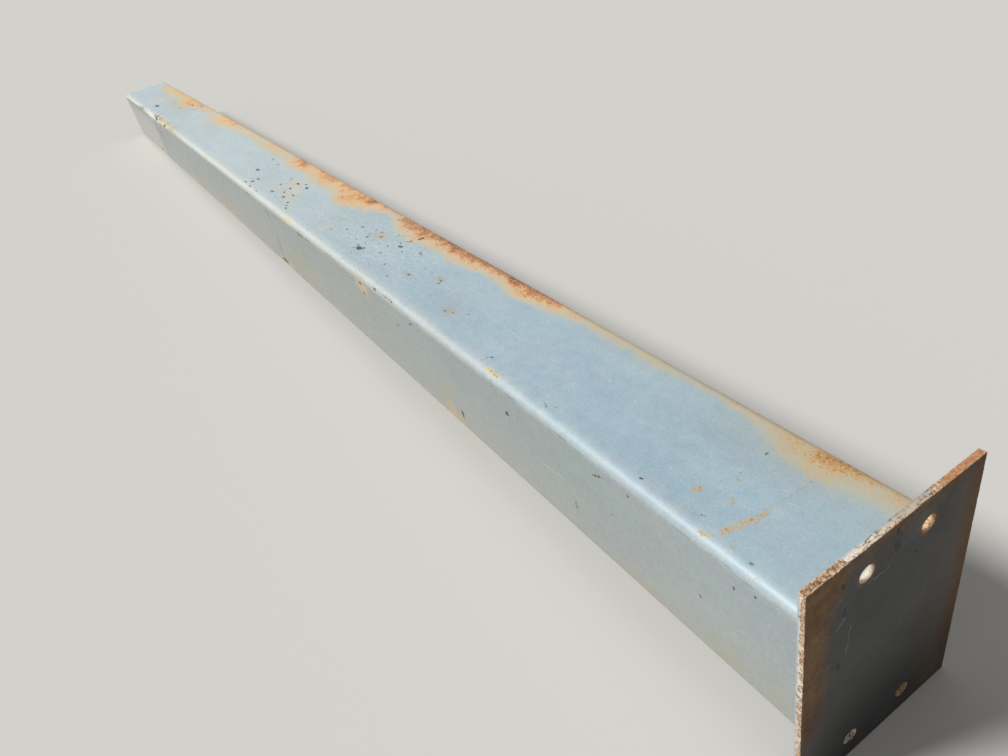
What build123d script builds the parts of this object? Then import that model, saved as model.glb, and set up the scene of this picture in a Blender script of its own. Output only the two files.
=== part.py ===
from build123d import *
import os

# A steel post: a square hollow section with rolled corners, and a flame-cut
# plate welded square across its foot with a fillet bead all round.
# Millimetres. The post lies along X. The plate's bolting face is at x = 0 and
# looks along +X, and the section runs from it towards -X, open at its far end.

# Square hollow section
tube_side = 304.8
tube_wall = 9.5
tube_corner_radius = 21.4
tube_length = 6083.3

# Base plate: it stands out past the walls, more above and below than beside
plate_thickness = 12.7
plate_margin_beside = 38.1
plate_margin_above = 114.3
plate_corner_radius = 2.5

# Anchor bolt holes: a pair above the section and a pair below it
hole_diameter = 30.2
hole_spacing = 133.4
hole_from_wall = 57.2

# Fillet weld between the walls and the plate
weld_leg = 8.0
weld_crown = 0.9


def section_outline(side, radius):
    """Rounded square of the hollow section, centred on its axis."""
    return RectangleRounded(side, side, min(radius, 0.49 * side))


def post_tube():
    """Square hollow section, saw-cut square at both ends."""
    inner_side = tube_side - 2 * tube_wall
    inner_radius = max(tube_corner_radius - tube_wall, 0.2 * tube_corner_radius)
    start = Plane.YZ.offset(-plate_thickness - tube_length)
    with BuildPart() as tube:
        with BuildSketch(start):
            add(section_outline(tube_side, tube_corner_radius))
            add(section_outline(inner_side, inner_radius), mode=Mode.SUBTRACT)
        extrude(amount=tube_length)
    return tube.part


def base_plate():
    """Rectangular plate with its anchor bolt holes outside the section."""
    width = tube_side + 2 * plate_margin_beside
    height = tube_side + 2 * plate_margin_above
    hole_height = tube_side / 2 + hole_from_wall
    with BuildPart() as plate:
        with BuildSketch(Plane.YZ.offset(-plate_thickness)):
            RectangleRounded(width, height, plate_corner_radius)
            with GridLocations(hole_spacing, 2 * hole_height, 2, 2):
                Circle(hole_diameter / 2, mode=Mode.SUBTRACT)
        extrude(amount=plate_thickness)
    return plate.part


def base_weld():
    """Fillet bead with a slightly rounded face, run once around the walls."""
    seat = Plane.YZ.offset(-plate_thickness)
    loop = (seat * section_outline(tube_side, tube_corner_radius)).wire()
    root = loop @ 0
    # The bead's section stands square to the loop: u away from the plate, v away from the wall
    section = Plane(origin=root, x_dir=(-1, 0, 0), z_dir=loop % 0)
    outward = 1 if section.y_dir.dot(root - seat.origin) > 0 else -1
    wall_toe = (weld_leg, 0)
    plate_toe = (0, outward * weld_leg)
    bulge = weld_leg / 2 + weld_crown / 2 ** 0.5
    with BuildPart() as bead:
        with BuildSketch(section):
            with BuildLine():
                Polyline(wall_toe, (0, 0), plate_toe)
                ThreePointArc(plate_toe, (bulge, outward * bulge), wall_toe)
            make_face()
        sweep(path=loop)
    return bead.part


os.makedirs("parts", exist_ok=True)
for name, build in (("post_tube", post_tube), ("base_plate", base_plate), ("base_weld", base_weld)):
    export_step(build(), os.path.join("parts", name + ".step"))
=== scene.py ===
import math
from functools import partial

import bmesh
import bpy
import numpy as np
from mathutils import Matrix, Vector, noise


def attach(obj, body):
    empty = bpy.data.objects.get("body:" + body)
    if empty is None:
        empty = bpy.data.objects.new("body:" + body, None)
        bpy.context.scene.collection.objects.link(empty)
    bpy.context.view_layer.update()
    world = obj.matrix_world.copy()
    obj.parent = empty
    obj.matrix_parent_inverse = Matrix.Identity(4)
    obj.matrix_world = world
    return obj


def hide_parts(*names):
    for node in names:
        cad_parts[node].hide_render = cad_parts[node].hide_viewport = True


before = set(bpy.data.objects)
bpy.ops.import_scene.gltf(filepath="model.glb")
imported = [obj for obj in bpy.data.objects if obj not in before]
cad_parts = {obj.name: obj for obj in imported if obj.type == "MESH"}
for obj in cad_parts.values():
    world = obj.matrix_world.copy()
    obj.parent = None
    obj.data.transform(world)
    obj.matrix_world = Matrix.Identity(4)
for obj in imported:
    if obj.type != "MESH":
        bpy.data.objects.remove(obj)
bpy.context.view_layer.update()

# Post tube. A length of cold-formed square hollow section: strip steel rolled square, its corners
# rounded by the rolls, saw-cut at both ends and sprayed with grey-blue shop primer. It has lain
# outdoors, so rust creeps in from one edge, dirt has dried on it, and knocks have dented the corners.
tube_half = 0.1524
tube_corner = 0.0214
tube_wall = 0.0095
tube_far = -6.096
tube_foot = -0.0127
half_mm = tube_half * 1000
corner_mm = tube_corner * 1000


def linear(code):
    """An sRGB hex colour as the linear numbers a shader takes."""
    parts = [int(code[i:i + 2], 16) / 255 for i in (1, 3, 5)]
    return tuple(c / 12.92 if c <= 0.04045 else ((c + 0.055) / 1.055) ** 2.4 for c in parts) + (1.0,)


def put(tree, kind, *values, named={}, stops=(), **settings):
    """Adds a node and returns it. The kind may end in the node's mode, as in "Mix RGBA", and a mode
    alone is that of a Math node. The values or links fill its inputs in their order, or by name, and a
    hex colour is turned linear. MULTIPLY and MAXIMUM put one more node for each value past the second."""
    kind, _, mode = kind.partition(" ")
    if kind.isupper():
        kind, mode = "Math", kind
    if mode in ("MULTIPLY", "MAXIMUM") and len(values) > 2:
        values = (put(tree, f"{kind} {mode}", *values[:-1]), values[-1])
    if mode:
        settings[{"MapRange": "interpolation_type", "Mix": "data_type"}.get(kind, "operation")] = mode
    kinds = [family + kind for family in ("ShaderNode", "GeometryNode", "")]
    node = tree.nodes.new(next(full for full in kinds if hasattr(bpy.types, full)))
    for name, value in settings.items():
        setattr(node, name, value)
    sockets = [s for s in node.inputs if s.enabled]
    by_name = [(next(s for s in sockets if s.name == name), value) for name, value in named.items()]
    for socket, value in [*zip(sockets, values), *by_name]:
        if isinstance(value, bpy.types.Node):
            value = next(s for s in value.outputs if s.enabled)
        if isinstance(value, bpy.types.NodeSocket):
            tree.links.new(value, socket)
        else:
            socket.default_value = linear(value) if str(value).startswith("#") else value
    if stops:
        ramp = node.color_ramp.elements
        for _ in stops[2:]:
            ramp.new(0.5)
        for element, (place, code) in zip(ramp, stops):
            element.position, element.color = place, linear(code)
    return node


def adder(owner):
    """Empties the node tree of a new material or world, and returns the function that adds nodes to it."""
    owner.use_nodes = True
    owner.node_tree.nodes.clear()
    return partial(put, owner.node_tree)


def rounded_outline(half_y, half_z, radius, flats, corner_steps):
    """Points round a rectangle with rounded corners, as rows of y, z and the way each faces.
    flats gives the number of steps along the right, top, left and bottom side."""

    def on_corner(n, degrees):
        """A place on a rounded corner and the way it faces."""
        y, z = ((half_y, -half_z), (half_y, half_z), (-half_y, half_z), (-half_y, -half_z))[n % 4]
        face = np.array((math.cos(math.radians(degrees)), math.sin(math.radians(degrees))))
        return np.array((y - math.copysign(radius, y), z - math.copysign(radius, z))) + radius * face, face

    rows = []
    for n, steps in enumerate(flats):
        for k in range(corner_steps + 1):
            place, face = on_corner(n, 90 * (n - 1) + 90 * k / corner_steps)
            rows.append((*place, *face))
        last, face = on_corner(n + 1, 90 * n)
        rows += [(*(place + (last - place) * k / steps), *face) for k in range(1, steps)]
    return np.array(rows)


def grain(points, size, seed):
    """Smooth noise from about -1 to 1 at each point, with lumps of the given size in metres."""
    shift = Vector((seed * 7.31, seed * 3.17, seed * 5.71))
    return np.array([noise.noise(Vector(p) / size + shift) for p in points]) * 1.6


def blots(points, rows):
    """The strongest of several soft-edged blots at each point. A row is centre, reach and strength, in mm."""
    field = np.zeros(len(points))
    for x, y, z, reach_x, reach_y, reach_z, strength in rows:
        away = (points * 1000 - (x, y, z)) / (reach_x, reach_y, reach_z)
        field = np.maximum(field, strength * np.exp(-0.7 * (away ** 2).sum(1)))
    return field


# Knocks on the rounded edge nearest the camera: x, length and depth in mm, and the way each faces, in degrees
corner_knocks = [
    (-905, 45, 1.2, 120), (-1455, 60, 1.6, 160), (-1545, 30, 1.2, 150), (-1660, 35, 1.8, 158),
    (-2060, 50, 1.4, 150), (-2330, 55, 1.8, 140), (-2790, 50, 1.6, 150), (-2880, 35, 1.4, 155),
    (-3510, 60, 1.6, 130), (-4420, 70, 2.2, 150), (-4950, 80, 3, 140), (-5080, 60, 3.8, 130),
    (-5250, 70, 4.6, 140), (-5420, 80, 4.2, 150), (-5600, 90, 3, 140), (-6096, 130, 10, 135),
]
# The stretch of that edge which was crumpled, and the crease down the wall beyond it, in mm
crumple_at, crumple_reach, crumple_depth = -4790, 270, 5.5
crease_at, crease_lean, crease_depth = -5180, 0.1, 6


def tube_sink(points, faces):
    """How far the wall has gone in at each point, in metres: rolling waves, knocks and the crease."""
    x, y, z = points.T * 1000
    flat_half = 131
    flat = np.clip(1 - np.minimum(abs(y), abs(z)) / flat_half, 0, 1)
    rolled = 0.55 + 0.3 * np.sin(x / 140 + 1.3) * np.sin(y / 60 + z / 75 + 0.7) + 0.2 * np.sin(x / 61)
    depth = flat * rolled
    turned = np.degrees(np.arctan2(faces[:, 1], faces[:, 0])) % 360
    # A blow on the rounded edge pushes the steel in there and fades out across the top and down the wall
    by_edge = np.clip((z - 20) / 110, 0, 1) * np.clip((-y - 20) / 110, 0, 1)
    for place, length, sunk, facing in corner_knocks:
        depth = depth + by_edge * sunk * np.exp(-((x - place) / length) ** 2 - ((turned - facing) / 24) ** 2)
    crumple = by_edge * np.exp(-((x - crumple_at) / crumple_reach) ** 2) * np.exp(-((turned - 142) / 34) ** 2)
    lumps = crumple_depth + 8.5 * grain(points, 0.09, 3) + 7 * grain(points, 0.04, 4)
    depth = depth + np.clip(crumple * lumps, 0, 14)
    # The steel beyond the crease was pushed in, and springs back towards the end
    beyond = crease_at - x - crease_lean * (z - 40)
    pushed = np.where(beyond > 0, np.exp(-np.maximum(beyond, 0) / 420), np.exp(np.minimum(beyond, 0) / 28))
    left = np.clip(-y - flat_half, 0, corner_mm) / corner_mm
    depth = depth + crease_depth * left * pushed * np.clip((165 - abs(z)) / 60, 0, 1)
    return np.maximum(depth, 0) / 1000


def tube_mesh():
    """The tube as one closed skin: outside rings, the two cut faces, and coarser rings inside."""
    flats, corner_steps = (18, 38, 28, 14), 9
    inner_half = tube_half - tube_wall
    outline = rounded_outline(tube_half, tube_half, tube_corner, flats, corner_steps)
    bore = rounded_outline(inner_half, inner_half, tube_corner - tube_wall, flats, corner_steps)
    count = len(outline)
    # Rings stand closest where the edge is crumpled
    stretches = ((tube_far, -5.27, 44), (-5.26, -4.46, 102), (-4.447, tube_foot, 356))
    outside = np.concatenate([np.linspace(*stretch) for stretch in stretches])
    rim = 0.0006
    rings = [(x, outline, 0, 0) for x in outside]
    rings[0] = (tube_far, outline, rim, 0)
    rings.insert(1, (tube_far + rim, outline, 0, 0))
    rings += [(x, bore, 0, 1) for x in np.linspace(tube_far, tube_foot, 60)[::-1]]
    points, inner = [], []
    for x, ring, inset, inside in rings:
        # The bore follows the dents of the outside
        sunk = tube_sink(np.column_stack([np.full(count, x), outline[:, :2]]), outline[:, 2:])
        place = ring[:, :2] - ring[:, 2:] * inset - sunk[:, None] * outline[:, 2:]
        points.append(np.column_stack([np.full(count, x), place]))
        inner.append(np.full(count, inside))
    quads = []
    for r in range(len(rings)):
        a, b = r * count, ((r + 1) % len(rings)) * count
        for k in range(count):
            j = (k + 1) % count
            quads.append((a + k, a + j, b + j, b + k))
    mesh = bpy.data.meshes.new("post_tube_skin")
    mesh.from_pydata(np.concatenate(points).tolist(), [], quads)
    return mesh, np.concatenate(points), np.concatenate(inner)


def soft_mark_group():
    """A stroke between two points in metres: 1 on the stroke, fading to 0 past its half width."""
    tree = bpy.data.node_groups.new("soft mark", "ShaderNodeTree")
    for name, kind in (("At", "Vector"), ("From", "Vector"), ("To", "Vector"), ("Half Width", "Float")):
        tree.interface.new_socket(name, in_out="INPUT", socket_type="NodeSocket" + kind)
    tree.interface.new_socket("Mask", in_out="OUTPUT", socket_type="NodeSocketFloat")
    add = partial(put, tree)
    at, start, end, half = add("NodeGroupInput").outputs[:4]
    away = add("VectorMath SUBTRACT", at, start)
    run = add("VectorMath SUBTRACT", end, start)
    along = add("VectorMath DOT_PRODUCT", away, run)
    full = add("VectorMath DOT_PRODUCT", run, run)
    share = add("DIVIDE", along, full, use_clamp=True)
    foot = add("VectorMath SCALE", run, share)
    gap = add("VectorMath DISTANCE", away, foot)
    ratio = add("DIVIDE", gap, half)
    add("NodeGroupOutput", add("MapRange SMOOTHSTEP", ratio, 1.25, 0.55))
    return tree


soft_mark = soft_mark_group()

# The top at z and the near wall at -y, in mm, in the rows of marks
face_mm = 152


def strokes(add, at, rows):
    """All the strokes of one list as one mask. On the top of the tube a row gives its ends without z."""
    mask = 0
    for *ends, half in rows:
        if len(ends) == 4:
            ends = [*ends[:2], face_mm, *ends[2:], face_mm]
        start, end = ([v / 1000 for v in place] for place in (ends[:3], ends[3:]))
        mask = add("MAXIMUM", mask, add("Group", at, start, end, half / 1000, node_tree=soft_mark))
    return mask


def spots(add, at, rows):
    """All the spots of one list as one mask."""
    nearest = 100
    for x, y, z, *halves in rows:
        back = [-c / h for c, h in zip((x, y, z), halves)]
        away = add("VectorMath MULTIPLY_ADD", at, [1000 / h for h in halves], back)
        nearest = add("MINIMUM", nearest, add("VectorMath LENGTH", away))
    return add("MapRange SMOOTHSTEP", nearest, 1.08, 0.82)


# How far rust has crept in over the top from the far long edge: x, the y where it starts, strength, in mm
rust_front = [
    (-6070, 112, 0.24), (-5960, 112, 0.29), (-5880, 86, 0.29), (-5800, 78, 0.42), (-5700, 72, 0.59),
    (-5600, 72, 0.68), (-5500, 71, 0.64), (-5400, 78, 0.63), (-5300, 81, 0.59), (-5200, 71, 0.61),
    (-5100, 51, 0.82), (-5020, 36, 0.82), (-4940, 55, 0.82), (-4860, 72, 0.81), (-4780, 81, 0.65),
    (-4720, 94, 0.63), (-4640, 92, 0.6), (-4560, 95, 0.41), (-4460, 85, 0.31), (-4380, 66, 0.4),
    (-4320, 60, 0.54), (-4260, 58, 0.69), (-4180, 65, 0.82), (-4100, 73, 0.82), (-4040, 83, 0.74),
    (-3980, 87, 0.66), (-3900, 93, 0.64), (-3800, 96, 0.53), (-3700, 96, 0.48), (-3600, 115, 0.7),
    (-3500, 91, 0.47), (-3380, 93, 0.54), (-3260, 100, 0.66), (-3160, 97, 0.55), (-3080, 98, 0.46),
    (-3020, 96, 0.65), (-2960, 77, 0.76), (-2900, 83, 1.07), (-2840, 81, 0.75), (-2780, 91, 0.77),
    (-2700, 86, 0.75), (-2620, 69, 0.76), (-2560, 72, 0.74), (-2480, 82, 0.74), (-2400, 79, 0.7),
    (-2320, 39, 0.75), (-2270, 44, 0.75), (-2210, 65, 0.79), (-2140, 89, 1.05), (-2080, 93, 0.68),
    (-2030, 126, 1.06), (-1980, 135, 0.7), (-1930, 113, 0.59), (-1880, 96, 0.78), (-1830, 84, 0.73),
    (-1780, 79, 0.62), (-1720, 73, 0.86), (-1660, 92, 0.8), (-1600, 94, 0.84), (-1540, 104, 1.15),
    (-1480, 86, 0.85), (-1420, 98, 0.95), (-1370, 108, 1.1), (-1310, 120, 1.2), (-1250, 116, 1.1),
    (-1190, 100, 0.95), (-1130, 102, 1.15), (-1070, 111, 1.15), (-1010, 116, 1.1), (-950, 124, 0.76),
    (-880, 137, 0.74), (-800, 134, 0.66), (-720, 128, 0.42), (-650, 130, 0.6), (-580, 134, 0.5),
    (-500, 140, 0.62), (-420, 139, 0.7), (-340, 124, 0.6), (-290, 99, 0.58), (-240, 96, 0.66),
    (-200, 95, 0.86), (-150, 102, 0.6), (-100, 111, 0.6), (-50, 97, 0.5),
]
# How old that rust is: x in mm, then 0 for a fresh orange bloom to 1 for a brown crust
crust_age = [
    (-6096, 0.3), (-5400, 0.2), (-5100, 0), (-4200, 0), (-3000, 0.26), (-2100, 0.42), (-1900, 0.9),
    (-1600, 1), (-1250, 1), (-1050, 0.75), (-900, 0.45), (-400, 0.3), (0, 0.28),
]


def crept_rust(points):
    """The strength of that rust at each point. It runs on over the rounded edge, a little down the wall."""
    x, y, z = points.T * 1000
    place, start, strength = np.array(rust_front).T
    over = y + np.maximum(half_mm - z, 0)
    inward = np.clip((over + 34 - np.interp(x, place, start)) / 72, 0, 1)
    down = np.clip((over - 185) / 75, 0, 1)
    on_top = (y > 0) & (z > 0)
    return np.where(on_top, np.interp(x, place, strength) * inward * (1 - down), 0)


def rust_age(points):
    """How old the rust is at each point. It has lain longest at the edge itself."""
    x, y, z = points.T * 1000
    over = y + np.maximum(half_mm - z, 0)
    return np.interp(x, *np.array(crust_age).T) * (0.35 + 0.65 * np.clip((over - 85) / 45, 0, 1))


# Rust elsewhere: centre, reaches and strength. The sheltered walls rust most where the primer is thin.
other_rust = [
    (-1190, -152, -100, 26, 30, 26, 0.2), (-1655, -152, 108, 42, 30, 24, 0.34),
    (-902, -139, 150, 30, 5, 7, 0.55), (-2340, -148, 142, 46, 10, 12, 0.3),
    (-4740, -142, 147, 220, 16, 12, 0.32), (-5400, -150, -140, 120, 20, 16, 0.5),
    (-2630, -152, -124, 60, 20, 14, 0.55), (-300, 152, 96, 110, 30, 40, 0.7),
    (-1480, 152, 112, 180, 30, 42, 0.75), (-2350, 152, 104, 260, 30, 44, 0.8),
    (-2900, 152, 118, 120, 30, 34, 0.8), (-4200, 152, 110, 240, 30, 46, 0.8),
    (-5000, 152, 96, 220, 30, 54, 0.85), (-700, 152, -132, 260, 30, 26, 0.55),
    (-3500, 152, -128, 420, 30, 30, 0.6), (-5600, 152, -120, 260, 30, 30, 0.62),
    (-1400, 20, -152, 60, 120, 30, 0.72), (-1180, -60, -152, 50, 90, 30, 0.8),
    (-4350, 10, -152, 45, 160, 30, 0.85), (-4440, -80, -152, 60, 60, 30, 0.6),
    (-2700, 90, -152, 160, 60, 30, 0.6), (-3600, -110, -152, 200, 40, 30, 0.6),
    (-5700, 60, -152, 150, 80, 30, 0.7), (-250, 60, -152, 90, 80, 30, 0.6),
]


def spread(deep, top, wall, rest=()):
    """Rows on the top, given without z, and on the near wall, given without y, as rows in space."""
    rows = [(x, y, face_mm, a, b, deep, *more) for x, y, a, b, *more in top]
    rows += [(x, -face_mm, z, a, deep, b, *more) for x, z, a, b, *more in wall]
    return rows + list(rest)


# Dried mud and dust: the wavy tide marks on top and the yellowish lower edge of the walls
dirt_blots = spread(30, [
    (-2660, 6, 60, 44, 1), (-2600, -36, 60, 38, 1), (-2520, -80, 60, 24, 0.75), (-2430, -110, 60, 16, 0.6),
    (-2720, -60, 90, 80, 0.5), (-2120, -80, 90, 36, 0.55), (-2060, -30, 160, 70, 0.3),
    (-1840, 12, 30, 10, 0.5), (-2900, -40, 260, 120, 0.2), (-4300, 40, 420, 90, 0.34),
    (-5500, 10, 420, 110, 0.34),
], [
    (-5140, 30, 60, 80, 0.5),
], [
    (-4780, -140, 146, 270, 38, 24, 1.15), (-5150, -148, 140, 170, 22, 30, 0.85),
    (-5740, -146, 146, 260, 16, 16, 0.6), (-3560, -148, 148, 130, 16, 14, 0.5),
    (-1200, -140, 146, 220, 14, 12, 0.3),
])
# Soft yellowish stains with no edge, where water has stood or run
stain_blots = spread(30, [
    (-5120, 24, 220, 56, 0.62), (-5560, 50, 200, 50, 0.4), (-1225, -68, 26, 12, 0.95),
    (-1512, -47, 22, 8, 0.95), (-1398, -2, 18, 9, 0.9), (-1250, -38, 30, 12, 0.3), (-1840, 14, 40, 16, 0.8),
    (-700, 122, 160, 26, 0.3), (-270, 96, 160, 56, 0.42), (-3250, 96, 300, 40, 0.3),
    (-2150, 60, 120, 60, 0.22),
], [
    (-190, -112, 60, 34, 0.5), (-405, -128, 80, 20, 0.6), (-85, -96, 30, 40, 0.35),
    (-2390, -42, 130, 56, 0.42), (-3480, -96, 260, 40, 0.42), (-4200, -80, 240, 40, 0.34),
    (-1195, -88, 42, 44, 0.62), (-1130, -110, 90, 30, 0.34), (-2500, -124, 320, 34, 0.62),
    (-900, -136, 300, 14, 0.4), (-5700, -120, 260, 26, 0.4), (-5250, 118, 110, 22, 0.4),
    (-6000, 122, 110, 22, 0.45), (-2650, -108, 70, 20, 0.6), (-1640, 104, 50, 26, 0.55),
], [
    (-4520, -150, 134, 190, 30, 26, 1),
])
# Grey scuffs and soft dark stains
scuff_blots = spread(30, [
    (-2660, 4, 44, 30, 0.42), (-2695, -88, 24, 14, 0.62), (-5255, -70, 34, 10, 0.8),
    (-4780, 120, 60, 9, 0.85), (-4900, 76, 60, 6, 0.7), (-5740, -14, 60, 8, 0.5),
], [
    (-1125, -88, 14, 30, 0.5), (-610, -54, 9, 22, 0.75), (-950, -10, 18, 60, 0.34),
    (-2640, -119, 60, 12, 0.8), (-2678, -64, 14, 26, 0.6), (-3650, 60, 60, 26, 0.34),
    (-4930, 58, 60, 18, 0.6), (-5600, 126, 170, 10, 0.7),
], [
    (-4840, -134, 151, 180, 14, 8, 0.62), (-5400, -150, 138, 60, 8, 8, 0.8),
    (-5060, -150, 124, 90, 10, 12, 0.55), (-4240, -150, 128, 90, 12, 10, 0.4),
])
# Where grit has been trodden and blown onto the post
grit_blots = spread(30, [
    (-1830, -40, 210, 90, 1), (-1640, 30, 200, 80, 0.9), (-1360, -50, 120, 60, 0.8), (-2930, -95, 80, 42, 1),
    (-2640, -60, 110, 90, 0.9), (-1225, -66, 60, 22, 1), (-1150, -60, 60, 40, 0.7),
    (-2150, -60, 160, 90, 0.6), (-1395, -10, 40, 24, 0.8), (-945, -112, 30, 22, 0.7),
    (-700, -124, 40, 16, 0.7), (-320, -110, 120, 60, 0.35),
], [
    (-1655, 106, 40, 26, 0.9), (-1000, 128, 260, 16, 0.45), (-2150, 126, 160, 12, 0.9),
    (-2650, -20, 80, 120, 0.5), (-450, 100, 90, 30, 0.4), (-150, 90, 60, 40, 0.4),
], [
    (-5430, -146, 142, 70, 22, 20, 1), (-4780, -138, 146, 280, 36, 24, 1.1),
    (-1480, -151, 140, 120, 12, 10, 0.9),
])
# Small chips and spots of tar down to bare dark steel, in mm: centre and half its size each way
dark_spots = spread(9, [
    (-1828, -70, 18, 9), (-1812, -60, 8, 4), (-1848, -82, 7, 3), (-1854, -63, 6, 4), (-1884, -15, 7, 4),
    (-1846, -41, 5, 3), (-1697, 91, 7, 13), (-1712, 62, 5, 6), (-1709, 23, 13, 5), (-1732, 36, 6, 3),
    (-1838, 15, 6, 4), (-1730, -39, 5, 3), (-1601, 40, 6, 3), (-1976, 10, 8, 4), (-3054, -40, 20, 8),
    (-3020, 45, 16, 3), (-3118, 56, 12, 3), (-2922, -78, 14, 5), (-2921, -104, 10, 10), (-2951, -127, 15, 4),
    (-2870, -131, 13, 4), (-2967, -93, 9, 3), (-2574, 20, 13, 7), (-2580, -78, 14, 5), (-2500, -88, 11, 4),
    (-2472, -102, 10, 3), (-2446, -114, 12, 4), (-2695, -88, 12, 6), (-2662, 15, 16, 5), (-2646, -26, 13, 5),
    (-2554, -46, 13, 3), (-5256, -70, 44, 12), (-404, -127, 4, 2.4), (-268, -113, 1.2, 2.6),
    (-147, -131, 1.4, 2.4), (-297, 71, 2, 5), (-948, -106, 4, 3), (-958, -128, 3, 2), (-1165, -43, 4, 2.4),
    (-1234, -77, 8, 2.4), (-1392, -3, 5, 3), (-1512, -47, 7, 3), (-2012, -36, 6, 3), (-2070, -72, 7, 3),
    (-1790, 58, 5, 3), (-1752, -2, 4, 3), (-1670, 8, 5, 3), (-1906, 28, 5, 4), (-1560, -96, 6, 2),
    (-2740, -36, 10, 4), (-2615, 34, 9, 4), (-2630, -58, 10, 4), (-2760, 20, 9, 3), (-1206, -66, 4, 2.4),
    (-1410, 4, 4, 3), (-1384, -14, 3, 3), (-1640, -64, 4, 3), (-1905, -48, 4, 3), (-1776, -88, 5, 2),
    (-1868, 32, 4, 3),
], [
    (-844, 70, 9, 6), (-416, 117, 3, 4), (-479, 19, 3, 3), (-245, -2, 3, 4), (-165, 97, 2, 5),
    (-1660, 121, 10, 6), (-1652, 90, 8, 5), (-120, 116, 2, 5), (-2650, -117, 44, 8), (-2875, 127, 26, 3),
    (-2205, 125, 38, 4), (-2125, 127, 24, 3), (-1122, -90, 6, 14), (-4920, 59, 30, 7), (-5315, -124, 30, 6),
    (-1424, 68, 10, 2),
], [
    (-5440, -151, 140, 40, 6, 5), (-1455, -151, 143, 46, 4, 3), (-1545, -151, 142, 18, 4, 3),
])
# Pin-head rust, the same way
rust_spots = spread(9, [
    (-318, -76, 9, 10), (-258, -55, 6, 7), (-300, -123, 4, 4), (-284, -13, 4, 4), (-295, 2, 3, 3),
    (-302, -34, 3, 2), (-188, -129, 4, 4), (-4794, 20, 44, 8), (-1838, 15, 14, 8), (-1645, -67, 7, 8),
], [
    (-3420, -100, 50, 9), (-1755, -106, 12, 9),
], [
    (-902, -139, 151, 30, 3, 5),
])
# Thin slanting scratches down to dark steel, pale rubs and lines of rust, in mm: both ends and half width
dark_strokes = [
    (-958, -113, -952, -121, 1.4), (-917, -136, -899, -138, 1.9), (-894, -139, 151, -872, -142, 151, 1.5),
    (-712, -120, -700, -127, 1.6), (-1326, -152, 111, -1304, -152, 121, 2.8),
    (-523, -152, 97, -499, -152, 109, 2.6), (-890, -151, 140, -884, -152, 128, 1.7),
    (-876, -152, 118, -872, -152, 110, 1.7), (-2800, -128, -2770, -133, 2),
    (-2640, -152, 110, -2614, -152, 82, 5), (-2612, -152, 6, -2654, -152, -92, 3.2),
    (-4976, 14, -4940, 24, 2.6), (-4976, 78, -4940, 84, 3.4), (-4912, 90, -4868, 86, 3.6),
    (-4768, 62, -4752, 70, 3), (-4742, 96, -4736, 118, 3.4),
]
pale_strokes = [
    (-702, 24, -676, 20, 1), (-674, 21, -670, 19, 2.8), (-1180, -8, -950, -17, 1.3),
    (-297, 58, -299, 81, 1.1), (-636, 44, -612, 56, 1), (-722, -152, -6, -650, -152, 3, 1.9),
    (-1345, -128, 151, -1262, -136, 150, 2.6), (-592, 30, -588, 34, 2.2), (-330, -60, -300, -92, 0.8),
    (-1490, 60, -1455, 20, 1.5),
]
rust_strokes = [
    (-204, -30, -202, -62, 5), (-208, -66, -214, -92, 8), (-214, -92, -219, -112, 9),
    (-226, -134, 152, -244, -141, 151, 5.5), (-206, -22, -198, 74, 1.4), (-262, 30, -250, 64, 1.2),
    (-5010, 4, -4920, 32, 8), (-4994, 70, -4860, 90, 11), (-4800, 46, -4736, 84, 9),
    (-4738, 84, -4732, 128, 9),
]


def weigh(add, total, *shares):
    """Adds values to a total, each times its share."""
    for value, share in shares:
        total = add("MULTIPLY_ADD", value, share, total)
    return total


def coats(add, colour, *layers):
    """Lays paints over a colour one after another, each where its mask is."""
    for mask, paint in layers:
        colour = add("Mix RGBA", mask, colour, paint)
    return colour


def surface(add, colour, rough, height, more={}):
    """Ends a material: painted steel of that colour and roughness, its relief as a height in metres."""
    relief = add("Bump", named={"Strength": 1, "Distance": 1, "Height": height})
    film = {"Base Color": colour, "Roughness": rough, "Normal": relief, "IOR": 1.5, "Metallic": 0}
    add("OutputMaterial", add("BsdfPrincipled", named=film | more))


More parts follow.
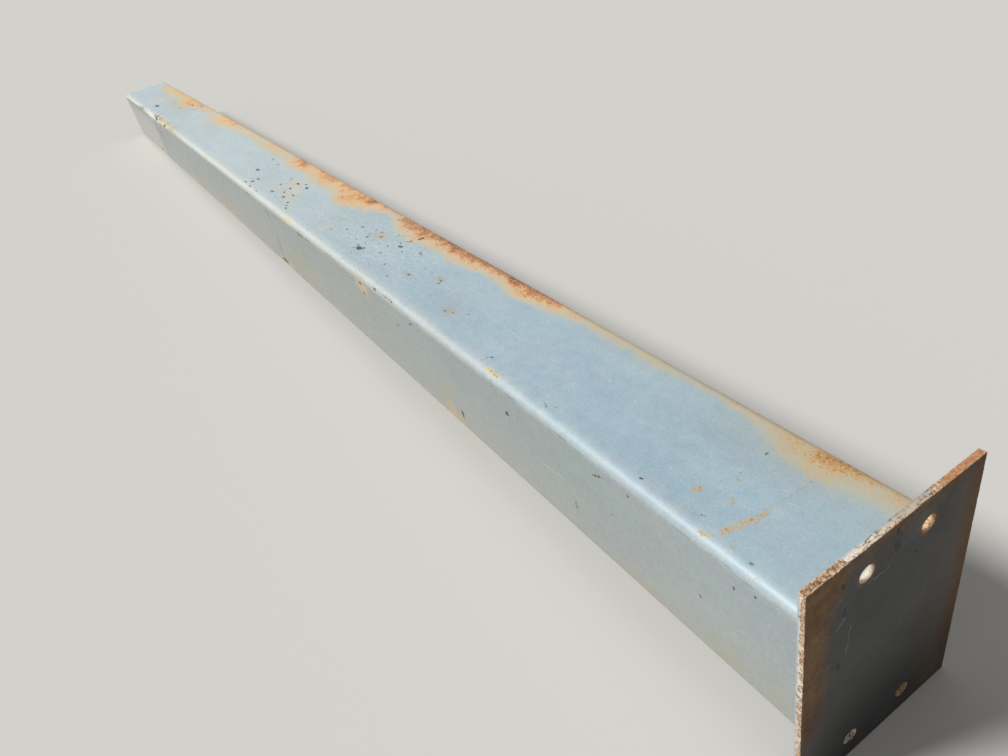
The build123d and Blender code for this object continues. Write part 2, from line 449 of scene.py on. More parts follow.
def weathered_primer():
    """Alkyd shop primer sprayed thin on mill steel: a dull satin film, mottled where it is thin,
    painted bluer on top, partly a painted sky reflection, paler on the rounded edge and the far top as
    painted highlight and sheen, and broken by orange-brown rust with a yellow stain round it."""
    material = bpy.data.materials.new("weathered_grey_blue_primer")
    add = adder(material)
    where = add("TexCoord")
    at = where.outputs["Object"]
    x, y, z = add("SeparateXYZ", at).outputs
    _, face_y, face_z = add("SeparateXYZ", where.outputs["Normal"]).outputs

    def mark(name):
        """The number that the mesh stores under that name."""
        return add("Attribute", attribute_name=name).outputs["Fac"]

    # Spray passes run along the post, so the large patches are drawn out along X. The fine marks of
    # dragging and rain are hairs about 3 mm wide and 50 mm long, turned off the noise's own grid.
    drawn = add("Mapping", at, named={"Scale": (0.35, 1, 1)})
    combed = add("Mapping", at, named={"Rotation": (0, 0.45, 0.42), "Scale": (0.07, 1, 1)})
    clouds = add("TexNoise", drawn, 9, 3, 0.55)
    mottle = add("TexNoise", at, 34, 5, 0.62)
    fine = add("TexNoise", at, 190, 4, 0.65)
    hairs = add("TexNoise", combed, 150, 3, 0.6)
    dragged = add("MapRange SMOOTHSTEP", x, -0.9, -1.7)
    lines = add("SUBTRACT", hairs, 0.5)
    line_share = add("MapRange", dragged, 0, 1, 0.05, 0.18)
    shade = weigh(add, 0, (clouds, 0.24), (mottle, 0.22), (fine, 0.36), (lines, line_share))
    shade = add("ADD", shade, 0.09)

    # The upward faces get bluer paint than the walls. This is partly a painted sky reflection and partly a
    # dustier film on the walls. Near the plate, painted highlights lighten the upper wall and the walls
    sky_tinted_top = add("ValToRGB", shade, stops=[(0.38, "#93ABB9"), (0.5, "#A3BAC7"), (0.62, "#B3C8D2")])
    dusty = add("ValToRGB", shade, stops=[(0.38, "#939C9A"), (0.5, "#A1A8A5"), (0.62, "#AFB4AC")])
    upward = add("MapRange SMOOTHSTEP", face_z, 0.4, 0.76)
    cool = add("MapRange", x, -2.2, -0.2, 0, 0.55)
    # Painted highlight: the upper wall near the plate is lightened bluish, as sky light on it
    painted_wall_highlight = add("MapRange", face_z, -0.02, 0.3)
    painted_wall_highlight = add("MULTIPLY", painted_wall_highlight, add("MapRange", x, -1.4, -0.5, 0, 0.75))
    # Painted light: the walls are lightened towards the plate
    painted_light_near_plate = add("MapRange", x, -0.55, -0.15, 0, 0.3)
    colour = coats(add, dusty, (cool, "#A0AEB2"), (painted_wall_highlight, "#A2B8C0"), (painted_light_near_plate, "#BCC5C6"),
                   (upward, sky_tinted_top))

    # Painted light on the top: a painted grazing reflection lightens it towards the open end, in uneven
    # patches, and a painted lift lightens it by the plate, where the plate shades it. The rounded edge is
    # whitened most of all, a painted highlight that is partly also real rubbing from handling
    painted_top_light = add("MapRange", x, -0.5, -3)
    uneven = add("MapRange", shade, 0.38, 0.6, 0.3)
    far_end_fade = add("MapRange", x, -4.2, -4.9, 1, 0.62)
    painted_top_light = add("MULTIPLY", painted_top_light, uneven, far_end_fade)
    # Painted light: the top by the plate is lightened where the plate shades it
    light_by_plate = add("MapRange", x, -0.3, -0.02, 0, 0.22)
    painted_top_light = add("MULTIPLY", add("MAXIMUM", painted_top_light, light_by_plate), upward)
    colour = add("Mix RGBA", painted_top_light, colour, "#C8D7D8")
    tint = add("TexNoise", drawn, 13, 3, 0.6).outputs["Color"]
    colour = add("Mix RGBA", 0.13, colour, tint, blend_type="SOFT_LIGHT")
    # Painted highlight along the rounded edge as a pale band, partly also real rubbing
    ridge = add("MapRange SMOOTHSTEP", face_y, -0.12, -0.55)
    ridge_low = add("MapRange SMOOTHSTEP", face_z, 0.5, 0.78)
    lightened = add("MULTIPLY", ridge, ridge_low, 0.1)
    # Painted highlight on the rounded edge, growing towards the open end in patches, partly also pale
    # weathered primer
    edge_top = add("MapRange SMOOTHSTEP", y, -0.104, -0.14)
    edge_wall = add("MapRange SMOOTHSTEP", z, 0.12, 0.142)
    far_along = add("MapRange", x, -0.3, -2.4, 0.24)
    patchy = add("MapRange", mottle, 0.36, 0.56, 0.38, 0.62)
    bleached_and_highlight = add("MULTIPLY", edge_top, edge_wall, far_along, patchy)

    # Soil splashed up by rain has dried on the lower half of the walls
    splashed = add("MapRange", z, 0.06, -0.15, 0, 0.36)
    splashed = add("MULTIPLY", splashed, add("SUBTRACT", 1, upward))

    # Painted light and shade at the crease: the wall past it is painted paler as painted light, and a dull
    # green-grey painted shade lies on the wall before it
    along_crease = add("MULTIPLY_ADD", z, crease_lean, x)
    before = add("MapRange", along_crease, -4.8, -5.17, 0, 0.38)
    past = add("MapRange", along_crease, -5.165, -5.195)
    sheltered = add("MapRange", face_y, -0.72, -0.92)
    dull = add("MULTIPLY", before, sheltered)
    past = add("MULTIPLY", past, sheltered, add("MapRange", z, 0.125, 0.06, 0.2, 0.75))

    # Grime in the pores of the film: a faint grain about 8 mm wide on the walls, and on top, where the
    # post was dragged, darker specks in drifts
    pores = add("TexNoise", at, 120, 4, 0.7)
    drifts = add("MapRange", mottle, 0.42, 0.56)
    dragging = add("MapRange", x, -2.9, -3.5, 0.8, 0.3)
    pitted = add("MULTIPLY", add("MapRange", pores, 0.53, 0.65), drifts, dragging, dragged)
    # These coats lay the painted highlight on the rounded edge, splashed soil, the painted shade and light at
    # the crease, and grime in the pores
    colour = coats(add, colour, (lightened, "#D6DFE0"), (bleached_and_highlight, "#DFDED2"), (splashed, "#BDB8A4"),
                   (dull, "#8B8F83"), (past, "#C6C4BF"), (pitted, "#67767D"))
    grimy = add("MULTIPLY", add("MapRange", dragged, 0, 1, 0.03, 0.62), uneven)
    grimy = add("Mix", upward, add("MapRange", dragged, 0, 1, 0.12, 0.34), grimy)
    pores = add("MapRange", pores, 0.36, 0.64)
    colour = add("Mix RGBA", grimy, colour, pores, blend_type="SOFT_LIGHT")
    stain = add("MULTIPLY", mottle, mark("stain"), 1.5)

    # Dried mud: cream, gritty, thicker where the grain is coarse, and paler where it flaked by the
    # crease. The steel by the saw cut is pale too.
    bite = add("TexNoise", at, 24, 7, 0.7)
    runs_at = add("Mapping", at, named={"Scale": (1, 0.3, 0.3)})
    runs = add("TexNoise", runs_at, 110, 4, 0.6)
    ragged, gritty, lumpy, feather = (add("SUBTRACT", n, 0.5) for n in (mottle, fine, bite, runs))
    dirt = weigh(add, mark("dirt"), (ragged, 1.6), (gritty, 2))
    dirt = add("MapRange SMOOTHSTEP", dirt, 0.22, 0.8, 0, 0.8)
    mud = add("Mix RGBA", add("MapRange", x, -4.7, -5.2), "#D6D0BF", "#EAE7DC")
    sawn = add("MapRange SMOOTHSTEP", x, -6.06, -6.092, 0, 0.6)
    colour = coats(add, colour, (stain, "#B0A582"), (dirt, mud), (sawn, "#DDE2DF"))

    # Rust: the attribute says how far it has got, lumps about 40 mm wide and runs down the slope of
    # the sheet about 8 mm wide feather its edge, and the grain breaks it up
    wobble = add("TexNoise", at, 170, 4, 0.7).outputs["Color"]
    wobbled = add("VectorMath SUBTRACT", wobble, (0.5, 0.5, 0.5))
    wobbled = add("VectorMath MULTIPLY_ADD", wobbled, (0.022, 0.022, 0.022), at)
    speckle = add("MapRange", fine, 0.4, 0.62, 0.14, 0.66)
    pins = add("MAXIMUM", strokes(add, wobbled, rust_strokes), spots(add, wobbled, rust_spots))
    rust = add("MAXIMUM", mark("rust"), add("MULTIPLY", pins, speckle))
    seeded = add("MapRange", rust, 0, 0.25)
    halo = add("MULTIPLY_ADD", ragged, 0.5, rust)
    halo = add("MULTIPLY", add("MapRange SMOOTHSTEP", halo, 0.01, 0.2, 0, 0.46), seeded)
    bitten = weigh(add, lumpy, (gritty, 0.8), (feather, 0.34))
    rust = add("MULTIPLY_ADD", bitten, seeded, rust)
    crust = add("MapRange", rust, 0.06, 0.74, 0, 0.96)
    rust_depth = weigh(add, rust, (gritty, 2.1), (lumpy, 1.25))
    rust_depth = add("MULTIPLY_ADD", rust_depth, 0.6, add("MULTIPLY", mark("age"), 0.32))
    rust_paint = add("ValToRGB", rust_depth, stops=[
        (0.1, "#DACDA4"), (0.34, "#F2CE98"), (0.52, "#F4BA78"), (0.68, "#D0945C"), (0.84, "#A96B42"),
        (1, "#83502F")])
    reds = add("MapRange", clouds, 0.42, 0.62, 0, 0.2)
    ochre = add("MapRange", x, -1, -0.5, 0, 0.48)
    rust_paint = coats(add, rust_paint, (reds, "#C4825C"), (ochre, "#A58A55"))

    # Scuffs, scratches and grit down to dark steel, with a line of abrasion where the rounded edge
    # meets the wall, and pale rubs over them
    scuff = add("MULTIPLY_ADD", gritty, 2.6, mark("scuff"))
    scuff = add("MapRange SMOOTHSTEP", scuff, 0.4, 1, 0, 0.7)
    dark = add("MAXIMUM", strokes(add, wobbled, dark_strokes), spots(add, wobbled, dark_spots))
    dark = add("MULTIPLY", dark, 0.96)
    strewn = mark("grit")
    crumbs = add("TexVoronoi", wobbled, 82)
    rare = add("SeparateColor", crumbs.outputs["Color"]).outputs["Red"]
    rare = weigh(add, rare, (dragged, 0.05), (strewn, 0.42))
    crumb_size = add("MapRange", rare, 0.93, 1.4, 0, 0.3)
    grit = add("LESS_THAN", crumbs.outputs["Distance"], crumb_size)
    grit = add("MULTIPLY", grit, 0.72)
    crumpled = add("MapRange", x, -4.1, -4.3)
    cracked = add("MULTIPLY", add("MapRange", bite, 0.555, 0.6), crumpled, strewn)
    low_ridge = add("MapRange SMOOTHSTEP", face_z, 0.42, 0.22)
    on_round = add("MapRange", face_z, 0.02, 0.1)
    abraded = add("MapRange", hairs, 0.56, 0.66, 0, 0.5)
    abraded = add("MULTIPLY", abraded, low_ridge, on_round, ridge)
    dark = add("MAXIMUM", dark, scuff, grit, cracked, abraded)
    scratched = add("MULTIPLY", add("MapRange", hairs, 0.64, 0.72, 0, 0.28), dragged)
    pale = add("MULTIPLY", strokes(add, wobbled, pale_strokes), 0.55)
    pale = add("MAXIMUM", pale, scratched)

    # Inside and on the saw cut there is no primer: blue-black mill scale going brown
    bare = mark("bare")
    scale = add("ValToRGB", mottle, stops=[(0.38, "#4A4746"), (0.5, "#6A4F3E"), (0.62, "#8E6345")])
    colour = coats(add, colour, (halo, "#CFC294"), (crust, rust_paint), (dark, "#14110E"),
                   (pale, "#D9E1E2"), (bare, scale))
    rough = add("MapRange", shade, 0.38, 0.62, 0.4, 0.5)
    worn = add("MAXIMUM", crust, bare, dirt)
    rough = add("Mix", worn, rough, 0.88)

    # Relief: sprayed film about 3 mm from lump to lump, and rust that stands up in 5 mm scabs
    peel = add("TexNoise", at, 330, 2)
    waves = add("TexNoise", drawn, 24, 2)
    scabs = add("MULTIPLY", fine, worn)
    height = weigh(add, 0, (peel, 0.00007), (waves, 0.0008), (hairs, 0.0001), (scabs, 0.0009))
    surface(add, colour, rough, height, {"Sheen Weight": 0.12, "Sheen Roughness": 0.5})
    return material


def give(mesh, **layers):
    """Stores a number for each point under each name that a material reads."""
    for name, values in layers.items():
        layer = mesh.attributes.new(name, "FLOAT", "POINT")
        layer.data.foreach_set("value", np.asarray(values, np.float32))


def new_object(name, data):
    """An object of that name in the scene."""
    made = bpy.data.objects.new(name, data)
    bpy.context.scene.collection.objects.link(made)
    return made


def finish_piece(mesh, name, material, slot, *nodes):
    """Shades a mesh, gives it its material, turns it into the piece of that name under the root and hides its
    CAD nodes.
    """
    mesh.polygons.foreach_set("use_smooth", np.ones(len(mesh.polygons), bool))
    mesh.set_sharp_from_angle(angle=math.radians(40))
    mesh.materials.append(material)
    piece = new_object(name, mesh)
    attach(piece, "root")
    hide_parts(*nodes)


tube_skin, tube_points, tube_inside = tube_mesh()
outer_skin = 1 - tube_inside
tube_rust = np.maximum(crept_rust(tube_points), blots(tube_points, other_rust))
give(tube_skin, rust=tube_rust * outer_skin, age=rust_age(tube_points), dirt=blots(tube_points, dirt_blots),
     stain=blots(tube_points, stain_blots) * outer_skin, scuff=blots(tube_points, scuff_blots) * outer_skin,
     grit=blots(tube_points, grit_blots), bare=tube_inside)
finish_piece(tube_skin, "steel_post_tube", weathered_primer(), "tube_paint", "post_tube")

# Base plate. A rectangle of 12.7 mm mild steel plate, flame-cut on all four sides and through the
# four anchor bolt holes, so its edges are rough with drag lines and melted at the rim. It is primed
# grey, thinly over the edges, where the paint flakes off pale over bright orange rust.
plate_thick = 0.0127
plate_half_y = 0.1905
plate_half_z = 0.2667
plate_corner = 0.0025
hole_radius = 0.0151
hole_across = 0.0667
hole_up = 0.2096


def cut_inset(points, along, share, wild):
    """How far a flame-cut wall lies in from its line, in metres: melted rims, drag lines and pits.
    share is the way through the plate, from 0 on the inner face to 1 on the outer one."""
    rim = 0.0008
    away = np.minimum(share, 1 - share) * plate_thick
    melted = rim * (1 - np.sqrt(1 - np.clip(1 - away / rim, 0, 1) ** 2))
    lag = 0.0026 * (1 - share) ** 2
    drag = grain(np.column_stack([along + lag, 0 * along, 0 * along]), 0.0021, 11)
    pits = np.clip(grain(points, 0.0052, 12) - 0.12, 0, 1)
    wander = grain(points, 0.07, 13)
    return melted + 0.00022 * (1 + drag) + wild * 0.0011 * pits + 0.00018 * (1 + wander)


def plate_mesh():
    """The plate as one closed skin. Its cut walls are fine grids, and its two faces span between them."""
    shares = np.array([0, 0.03, 0.08, 0.18, 0.32, 0.46, 0.6, 0.74, 0.86, 0.94, 0.98, 1])
    # The outer wall, then the four bores, each with its centre and how wild the cut is
    outline = rounded_outline(plate_half_y, plate_half_z, plate_corner, (330, 236, 330, 236), 4)
    loops = [(outline, 0, 0, 1)]
    turns = np.radians(np.arange(0, 360, 4))
    out = np.column_stack([np.cos(turns), -np.sin(turns)])
    bore = np.column_stack([-hole_radius * out, out])
    loops += [(bore, y, z, 0.6) for y in (-hole_across, hole_across) for z in (-hole_up, hole_up)]
    shape = bmesh.new()
    rims = ([], [])
    wall = []
    for ring, y, z, roughness in loops:
        place = ring[:, :2] + (y, z)
        step = np.linalg.norm(np.roll(place, 1, 0) - place, axis=1)
        along = np.cumsum(step) + abs(y) * 10 + z
        rows = []
        for share in shares:
            at = np.column_stack([np.full(len(place), (share - 1) * plate_thick), place])
            # The top is cut worst near its left end
            wild = roughness * (1 + 1.2 * np.exp(-((at[:, 1] + 0.15) / 0.035) ** 2) * (at[:, 2] > 0.25))
            inset = cut_inset(at, along, np.full(len(at), share), wild)
            at[:, 1:] -= ring[:, 2:] * inset[:, None]
            rows.append([shape.verts.new(p) for p in at])
            wall.append(at)
        for a, b in zip(rows, rows[1:]):
            for k in range(len(a)):
                j = (k + 1) % len(a)
                shape.faces.new((a[k], a[j], b[j], b[k]))
        for row, rim in zip((rows[0], rows[-1]), rims):
            rim.extend(shape.edges.get((row[k - 1], row[k])) for k in range(len(row)))
    for rim, way in zip(rims, (-1, 1)):
        bmesh.ops.triangle_fill(shape, use_beauty=True, edges=rim, normal=(way, 0, 0))
    bmesh.ops.recalc_face_normals(shape, faces=shape.faces[:])
    mesh = bpy.data.meshes.new("base_plate_skin")
    shape.to_mesh(mesh)
    shape.free()
    return mesh, np.concatenate(wall)


def edge_paint(points):
    """How much primer is left on the cut walls at each point: most on top between its two rusty ends."""
    x, y, z = points.T
    # Cut wall on the top, the sides and the bottom, past these
    top_from, side_from = 0.262, 0.186
    inner = np.clip((-x - 0.0062) / 0.004, 0, 1)
    outer = np.clip((x + 0.003) / 0.0026, 0, 1)
    between_ends = 1 / (1 + np.exp(-(y + 0.112) / 0.006)) / (1 + np.exp((y - 0.075) / 0.012))
    top = np.where(z > top_from, between_ends * (0.84 + 0.3 * inner - 0.42 * outer), 0)
    left = np.where((y < -side_from) & (z < top_from), 0.4 + 0.5 * inner, 0)
    right = np.where((y > side_from) & (z < top_from), 0.25 + 0.4 * inner, 0)
    bottom = np.where(z < -top_from, 0.15 + 0.3 * inner, 0)
    bore = np.where((abs(y) < 0.1) & (abs(z) < 0.24), 0.62 - 0.35 * np.clip(y / 0.067, -1, 1), 0)
    cover = top + left + right + bottom + bore
    return cover + 0.34 * grain(points, 0.009, 21) + 0.2 * grain(points, 0.0026, 22)


# Marks on the outer face, in mm: both ends and half width
plate_dark_strokes = [
    (0, -3, 214, 0, -5, 222, 8), (0, -4, 246, 0, -7, 252, 4.5), (0, 3, 232, 0, 2, 238, 3),
    (0, -108, 168, 0, -112, 160, 4.5), (0, 42, 170, 0, 48, 166, 3.5), (0, -22, 205, 0, -16, 209, 2.5),
    (0, -5, -150, 0, -8, -160, 6), (0, -112, 34, 0, -116, 44, 5), (0, -118, 228, 0, -114, 222, 4),
]
plate_pale_strokes = [
    (0, -60, 184, 0, -14, 185, 1.8), (0, -124, 136, 0, -108, 146, 2.2), (0, -98, 60, 0, -92, 120, 1),
]


def plate_primer():
    """The same primer on hot-rolled plate, flatter, its outer face painted dark grey as painted shade,
    brown where rust has bled from the cut sides. The cut walls are oxidised steel, orange to dark brown,
    under what paint is left."""
    material = bpy.data.materials.new("primer_on_flame_cut_plate")
    add = adder(material)
    where = add("TexCoord")
    at = where.outputs["Object"]
    x, y, z = add("SeparateXYZ", at).outputs
    face_x, _, face_z = add("SeparateXYZ", where.outputs["Normal"]).outputs
    cut = add("MapRange SMOOTHSTEP", add("ABSOLUTE", face_x), 0.9, 0.6)
    up = add("GREATER_THAN", face_z, 0.5)
    clouds = add("TexNoise", at, 12, 4, 0.55)
    mottle = add("TexNoise", at, 55, 5, 0.62)
    fine = add("TexNoise", at, 330, 4, 0.65)
    shade = add("MULTIPLY", add("ADD", clouds, mottle), 0.5)
    # Painted shade: the outer face is painted much darker than the tube's primer, for the shade it stands in
    colour = add("ValToRGB", shade, stops=[(0.38, "#505151"), (0.5, "#565756"), (0.62, "#5D5D5A")])

    # Rust that has bled over the outer face: a band down the left, wide at its top corner, and a thin rim
    left = add("MapRange", y, -0.118, -0.172)
    left = add("MULTIPLY", left, add("MapRange", z, -0.19, -0.02))
    slope = add("VectorMath DOT_PRODUCT", at, (0, -21, 12.6))
    corner = add("MapRange", slope, 4.55, 5.9)
    right = add("MapRange", y, 0.14, 0.182, 0, 0.95)
    top = add("MapRange", z, 0.222, 0.276, 0, 0.8)
    bottom = add("MapRange", z, -0.235, -0.275)
    mirrored = add("VectorMath ABSOLUTE", at)
    from_hole = add("VectorMath SUBTRACT", mirrored, (0, hole_across, hole_up))
    from_hole = add("VectorMath LENGTH", add("VectorMath MULTIPLY", from_hole, (0, 1, 1)))
    rim = add("MapRange", from_hole, 0.026, 0.015, 0, 0.95)
    bled = add("MAXIMUM", left, corner, right, top, bottom, rim)
    ragged = add("SUBTRACT", mottle, 0.5)
    bled = add("MULTIPLY_ADD", ragged, 0.7, bled)
    bled = add("MapRange SMOOTHSTEP", bled, 0.05, 0.95, 0, 0.92)
    bled_paint = add("ValToRGB", shade, stops=[(0.36, "#836448"), (0.5, "#9B7A5C"), (0.64, "#B29070")])

    # Painted shade: the outer face darkens towards the bottom, as shaded by the ground, and is browner
    # towards the right edge
    ground_shade = add("MapRange", z, 0.03, -0.15, 0, 0.96)
    ground_shade = add("MULTIPLY", ground_shade, add("MapRange", y, -0.19, -0.13, 0.4))
    ground_shade_colour = add("Mix RGBA", add("MapRange", y, 0.08, 0.17), "#191A1B", "#2A1F16")
    to_right = add("MapRange", y, 0.05, 0.18, 0, 0.5)
    wobble = add("TexNoise", at, 160, 2).outputs["Color"]
    wobbled = add("VectorMath SUBTRACT", wobble, (0.5, 0.5, 0.5))
    wobbled = add("VectorMath MULTIPLY_ADD", wobbled, (0, 0.014, 0.014), at)
    stained = add("MULTIPLY", strokes(add, wobbled, plate_dark_strokes), 0.75)
    lightened = add("MULTIPLY", strokes(add, wobbled, plate_pale_strokes), 0.45)
    # Coats: bled rust, the painted ground shade, a browner right side, dark stains and pale rubs
    colour = coats(add, colour, (bled, bled_paint), (ground_shade, ground_shade_colour), (to_right, "#4E3C28"),
                   (stained, "#332C27"), (lightened, "#B4B8B6"))

    # The cut walls: tan oxide with dark pits and drag lines about 2 mm apart, brownest in the pits of
    # the top's near end and redder at its far end
    oxide = add("TexNoise", at, 230, 6, 0.75)
    rust_paint = add("ValToRGB", oxide, stops=[
        (0.32, "#5C402E"), (0.42, "#B48A64"), (0.52, "#DFBE98"), (0.64, "#F4DFC2")])
    across_cut = add("Mapping", at, named={"Scale": (0.12, 1, 1)})
    drag = add("MapRange", add("TexNoise", across_cut, 430, 2), 0.54, 0.66, 0, 0.45)
    near_end = add("MapRange", y, -0.1, -0.125)
    pits = add("MapRange", oxide, 0.58, 0.42, 0.22, 0.92)
    from_middle = add("ABSOLUTE", add("ADD", x, 0.5 * plate_thick))
    between_rims = add("MapRange", from_middle, 0.0052, 0.0036)
    brown_end = add("MULTIPLY", near_end, pits, up, between_rims)
    red_end = add("MULTIPLY", add("MapRange", y, 0.086, 0.106, 0, 0.62), up)
    rust_paint = coats(add, rust_paint, (drag, "#8A6344"), (brown_end, "#744C34"), (red_end, "#B4703F"))

    # Flakes of paint are left on them, cream on top and bluish by the inner rim, cracked along the edge
    paint_left = add("Attribute", attribute_name="edge_paint").outputs["Fac"]
    paint_left = add("MULTIPLY_ADD", add("SUBTRACT", oxide, 0.5), 1.1, paint_left)
    flakes = add("MapRange SMOOTHSTEP", paint_left, 0.44, 0.54)
    inner = add("MapRange", x, -0.0078, -0.0105)
    weathered = add("MULTIPLY", add("MapRange", y, -0.07, 0.01, 0, 0.66), up)
    grime = add("MapRange", mottle, 0.45, 0.68, 0, 0.5)
    flake_paint = coats(add, "#F4E6D4", (inner, "#C2CCCF"), (weathered, "#A6957C"), (grime, "#BFA88C"))
    along_edge = add("Mapping", wobbled, named={"Scale": (1, 0.22, 0.22)})
    crack = add("TexVoronoi", along_edge, 150, feature="DISTANCE_TO_EDGE")
    crack = add("MapRange", crack, 0.12, 0.03, 0, 0.85)
    crack = add("MULTIPLY", crack, add("MapRange", mottle, 0.46, 0.56), flakes, up)
    lifted = add("ABSOLUTE", add("SUBTRACT", paint_left, 0.48))
    lifted = add("MapRange SMOOTHSTEP", lifted, 0.06, 0.02, 0, 0.8)
    crack = add("MAXIMUM", crack, lifted)
    wall_paint = coats(add, rust_paint, (flakes, flake_paint), (crack, "#4A382C"))
    colour = add("Mix RGBA", cut, colour, wall_paint)

    worn = add("MAXIMUM", cut, bled)
    rough = add("MapRange", worn, 0, 1, 0.6, 0.9)
    scabs = add("MULTIPLY", fine, worn)
    height = weigh(add, 0, (mottle, 0.0004), (fine, 0.00012), (scabs, 0.0007))
    surface(add, colour, rough, height, {"Specular IOR Level": 0.3})
    return material


plate_skin, wall_points = plate_mesh()
give(plate_skin, edge_paint=edge_paint(wall_points))
finish_piece(plate_skin, "flame_cut_base_plate", plate_primer(), "plate_paint", "base_plate")

# Fillet weld. One bead laid by hand all round the foot of the tube, in the corner between its walls
# and the plate. Each push of the arc leaves a curved ripple about 4 mm from the last, and the bead
# swells where one run of the rod ends and the next starts. It was primed with the rest.
bead_sizes = {
    "Tube Side": 2 * tube_half, "Corner Radius": tube_corner, "Leg": 0.008, "Crown": 0.0009,
    "Ripple Pitch": 0.0042, "Ripple Height": 0.0006, "Plate Face": tube_foot,
}


def bead_tree():
    """Sweeps a fillet section round the tube and raises ripples across its face."""
    tree = bpy.data.node_groups.new("rippled fillet bead", "GeometryNodeTree")
    for name, size in bead_sizes.items():
        tree.interface.new_socket(name, in_out="INPUT", socket_type="NodeSocketFloat").default_value = size
    tree.interface.new_socket("Paint", in_out="INPUT", socket_type="NodeSocketMaterial")
    tree.interface.new_socket("Bead", in_out="OUTPUT", socket_type="NodeSocketGeometry")
    add = partial(put, tree)
    given = add("NodeGroupInput").outputs
    side, leg, pitch = given["Tube Side"], given["Leg"], given["Ripple Pitch"]

    # The path: the foot of the wall, in a plane of its own
    loop = add("CurvePrimitiveQuadrilateral", side, side)
    loop = add("FilletCurve", loop, mode="BEZIER", named={"Radius": given["Corner Radius"]})
    loop = add("ResampleCurve", loop, mode="LENGTH", named={"Length": 0.0009})
    path = add("CaptureAttribute", loop, domain="POINT")
    path.capture_items.new("FLOAT", "Along")
    tree.links.new(add("SplineParameter").outputs["Length"], path.inputs["Along"])
    around = path.outputs["Along"]

    # The section: the bead's face and its two legs, which lie on the wall and the plate
    wall_toe = add("CombineXYZ", 0, leg)
    plate_toe = add("CombineXYZ", leg)
    half_leg = add("MULTIPLY", leg, 0.5)
    belly = add("MULTIPLY_ADD", given["Crown"], 0.7071, half_leg)
    middle = add("CombineXYZ", belly, belly)
    face = add("CurveArc", 15, wall_toe, middle, plate_toe, mode="POINTS")
    arch = add("MULTIPLY", add("SplineParameter").outputs["Factor"], math.pi)
    arch = add("SINE", arch)
    face = add("CaptureAttribute", face, domain="POINT")
    face.capture_items.new("FLOAT", "Arch")
    tree.links.new(arch.outputs[0], face.inputs["Arch"])
    arch = face.outputs["Arch"]
    root = (0, 0, 0)
    plate_leg = add("CurvePrimitiveLine", plate_toe, root)
    wall_leg = add("CurvePrimitiveLine", root, wall_toe)
    section = add("JoinGeometry")
    for part in (wall_leg, plate_leg, face):
        tree.links.new(part.outputs[0], section.inputs[0])

    # The bead swells and shrinks along its run
    swell = add("TexNoise", around, 26, 2, noise_dimensions="1D")
    swell = add("MapRange", swell, 0.25, 0.75, 0.8, 0.97)
    bead = add("CurveToMesh", path, section, named={"Scale": swell})
    bead = add("MergeByDistance", bead, named={"Distance": 0.00002})
    bead = add("FlipFaces", bead)

    # Ripples bow back in the middle of the bead and die out at its toes
    jitter = add("TexNoise", around, 70, 1, noise_dimensions="1D")
    bow = weigh(add, around, (arch, -0.0032), (jitter, 0.006))
    phase = add("FRACT", add("DIVIDE", bow, pitch))
    rise = add("POWER", phase, 0.65)
    fall = add("MapRange SMOOTHSTEP", phase, 1, 0.8)
    ripple = add("MULTIPLY", rise, fall, arch)
    lift = add("MULTIPLY", ripple, given["Ripple Height"])
    push = add("VectorMath SCALE", add("InputNormal"), lift)
    bead = add("SetPosition", bead, named={"Offset": push})
    bead = add("StoreNamedAttribute", bead, named={"Name": "ripple", "Value": ripple})

    # Stood up against the plate's inner face
    back = add("CombineXYZ", given["Plate Face"])
    bead = add("Transform", bead, named={"Translation": back, "Rotation": (0, math.radians(90), 0)})
    bead = add("RealizeInstances", bead)
    bead = add("SetMaterial", bead, named={"Material": given["Paint"]})
    add("NodeGroupOutput", bead)
    return tree


def bead_primer():
    """Primer over a weld as laid: thick in the hollows, worn to brown oxide on the ripples' crests,
    with a straw and blue-grey heat tint showing where it is thin. Its grain is the ripple, about 4 mm."""
    material = bpy.data.materials.new("primer_on_weld_bead")
    add = adder(material)
    at = add("TexCoord").outputs["Object"]
    patches = add("TexNoise", at, 22, 4, 0.6)
    fine = add("TexNoise", at, 260, 5, 0.65)
    paint = add("ValToRGB", patches, stops=[(0.36, "#8D9799"), (0.5, "#9DA9AD"), (0.64, "#ABB4B5")])
    oxide = add("ValToRGB", fine, stops=[(0.34, "#6B4A35"), (0.5, "#9A6E4B"), (0.66, "#BE9166")])
    crest = add("Attribute", attribute_name="ripple").outputs["Fac"]
    bare = weigh(add, -0.12, (patches, 0.8), (crest, 0.3), (fine, 0.25))
    bare = add("MapRange SMOOTHSTEP", bare, 0.46, 0.66)
    colour = add("Mix RGBA", bare, paint, oxide)
    rough = add("MapRange", bare, 0, 1, 0.5, 0.85)
    surface(add, colour, rough, add("MULTIPLY", fine, 0.0003))
    return material


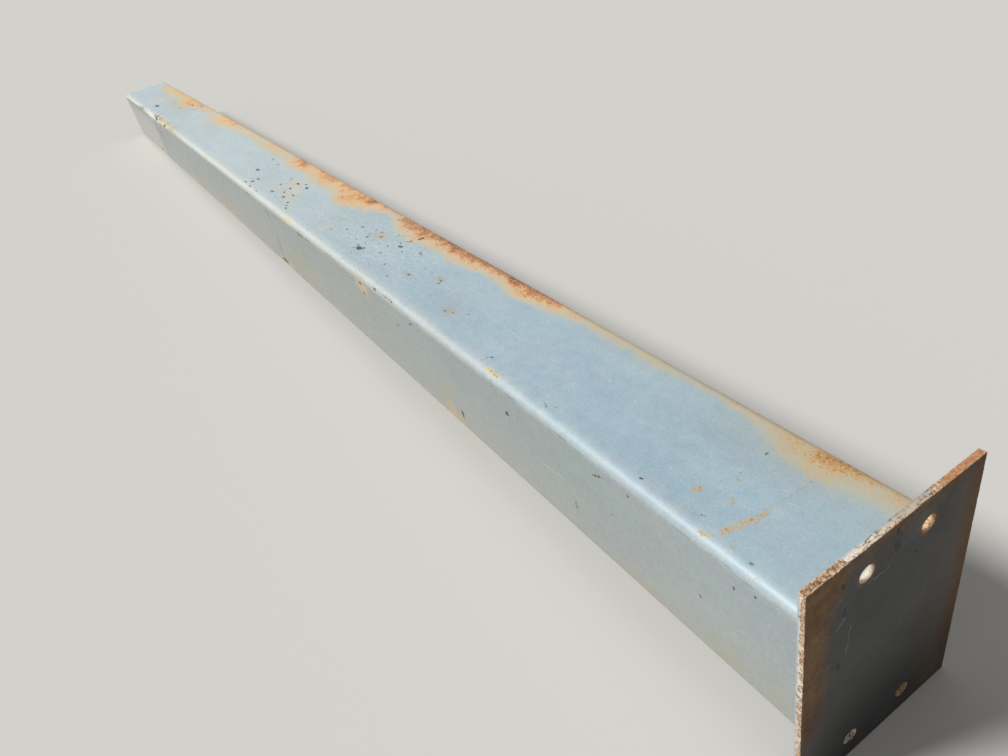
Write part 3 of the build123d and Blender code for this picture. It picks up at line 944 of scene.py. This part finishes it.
bead_paint = bead_primer()
bead_maker = new_object("bead maker", bpy.data.meshes.new("bead start"))
sweep = bead_maker.modifiers.new("sweep", "NODES")
sweep.node_group = bead_tree()
for socket in sweep.node_group.interface.items_tree:
    if socket.in_out == "INPUT" and socket.name == "Paint":
        sweep[socket.identifier] = bead_paint
swept = bead_maker.evaluated_get(bpy.context.evaluated_depsgraph_get())
bead_skin = bpy.data.meshes.new_from_object(swept)
bead_skin.name = "base_weld_skin"
bead_maker.modifiers.remove(sweep)
bpy.data.objects.remove(bead_maker)
bead_skin.materials.clear()
finish_piece(bead_skin, "rippled_fillet_weld", bead_paint, "weld_paint", "base_weld")

# Floor, light and camera. A plain pale studio floor lies under the post, touching the plate's lower
# edge and the far end of the tube, with one broad soft key light from behind the left and a low fill.
floor_reach = 160
floor_gap = 0.0005
floor_tilt = (plate_half_z - tube_half) / -tube_far
floor_mesh = bpy.data.meshes.new("floor")
floor_points = [
    (x * floor_reach, y * floor_reach, -plate_half_z - x * floor_reach * floor_tilt - floor_gap)
    for x, y in ((-1, -1), (1, -1), (1, 1), (-1, 1))]
floor_mesh.from_pydata(floor_points, [], [(0, 1, 2, 3)])
floor = new_object("floor", floor_mesh)
floor_paint = bpy.data.materials.new("matt_pale_floor")
floor_mesh.materials.append(floor_paint)


def seen_directly(add):
    """1 where the camera or a reflection sees the surface itself, so it can show paler than it lights."""
    rays = add("LightPath").outputs
    return add("MAXIMUM", rays["Is Camera Ray"], rays["Is Glossy Ray"])


add = adder(floor_paint)
floor_colour = add("Mix RGBA", seen_directly(add), "#8C8A86", "#D9D7D2")
add("OutputMaterial", add("BsdfDiffuse", floor_colour))

world = bpy.data.worlds.new("studio")
bpy.context.scene.world = world
add = adder(world)
world_level = add("MapRange", seen_directly(add), 0, 1, 0.24, 0.85)
add("OutputWorld", add("Background", (1, 1, 1, 1), world_level))

key = bpy.data.lights.new("key", "SUN")
key.energy = 3.05
key.angle = math.radians(14)
key_light = new_object("key", key)
key_from = Vector((-0.3, -0.62, 0.72))
key_light.rotation_mode = "QUATERNION"
key_light.rotation_quaternion = key_from.to_track_quat("Z", "Y")

# The place, turn and lens of the camera that took the photo, fitted to the edges of the post
camera = bpy.data.cameras.new("camera")
camera.sensor_width = 36
camera.lens = 27.1975
camera.clip_end = 1000
viewer = new_object("camera", camera)
viewer.location = (0.40803, -0.70704, 1.11531)
viewer.rotation_euler = [math.radians(a) for a in (54.4203, 11.7362, 57.2597)]
bpy.context.scene.camera = viewer
bpy.context.scene.view_settings.view_transform = "Standard"
